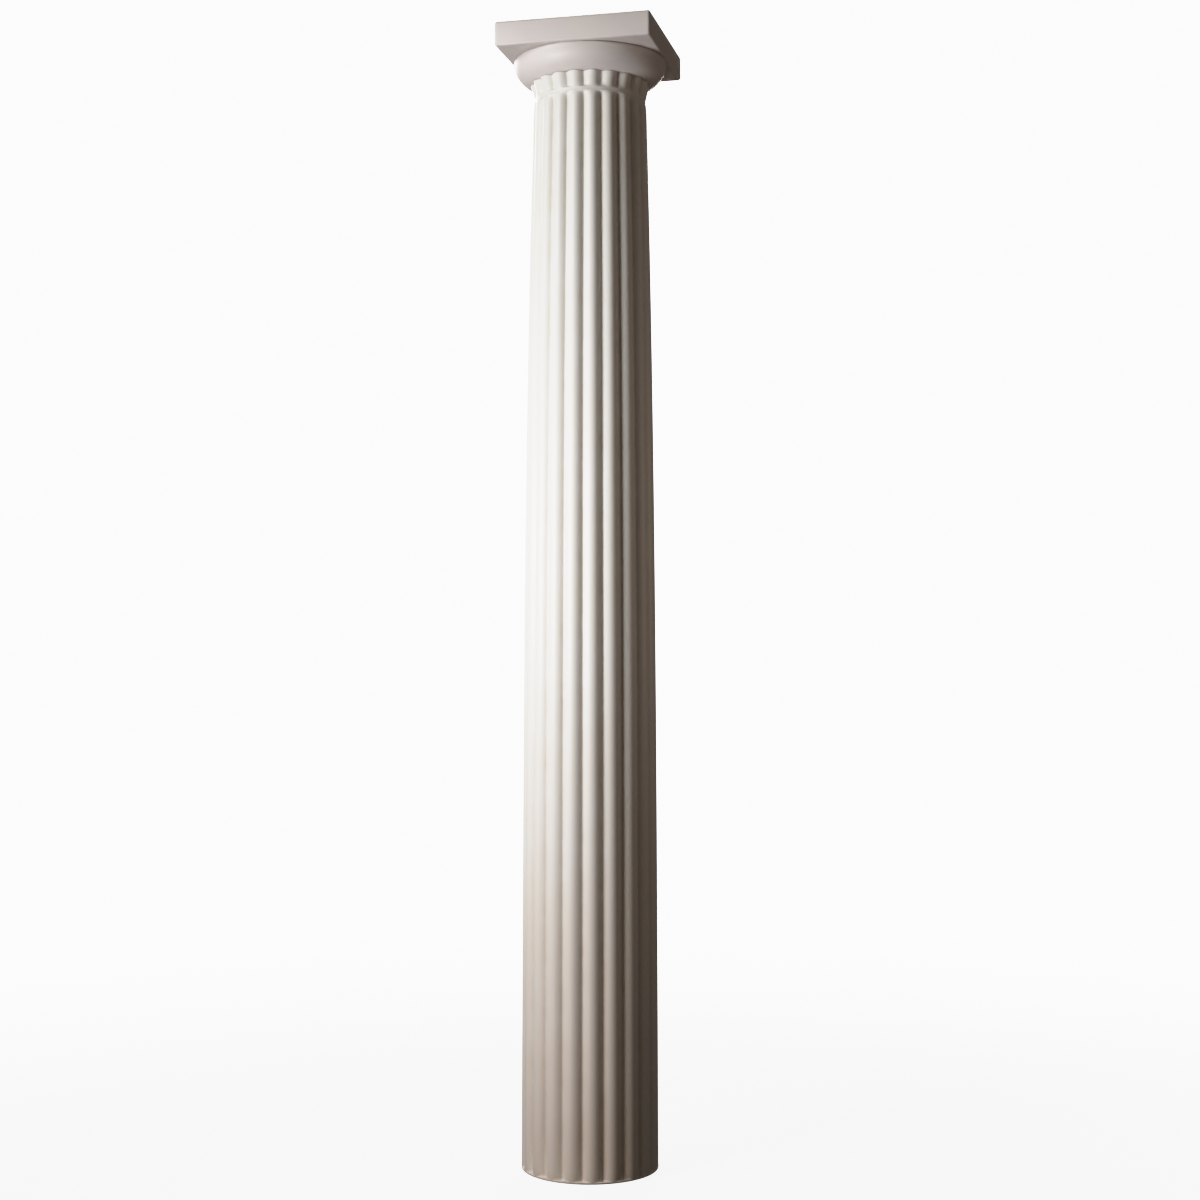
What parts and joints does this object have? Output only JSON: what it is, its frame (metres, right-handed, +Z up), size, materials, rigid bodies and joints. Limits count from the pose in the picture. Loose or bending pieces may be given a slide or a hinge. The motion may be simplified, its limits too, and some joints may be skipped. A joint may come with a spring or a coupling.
{
  "type": "fluted column",
  "caption": "Free-standing fluted column: tapering shaft with entasis and a pinched neck ring, under a capital of round cushion echinus and square abacus. Carries a beam or bust.",
  "frame": {"origin": "centre of the shaft's flat underside, on the floor", "axes": "+Z up along the column's axis; the abacus faces are square to X and Y and -Y is the front"},
  "size_m": [0.335, 0.335, 2.438],
  "materials": {
    "shaft_gelcoat": "moulded glass-fibre shell with a satin off-white gelcoat",
    "capital_gelcoat": "moulded glass-fibre shell with a satin off-white gelcoat, a shade pinker than the shaft"
  },
  "bodies": {
    "root": {"shaft": "shaft_gelcoat", "capital": "capital_gelcoat"}
  },
  "joints": []
}
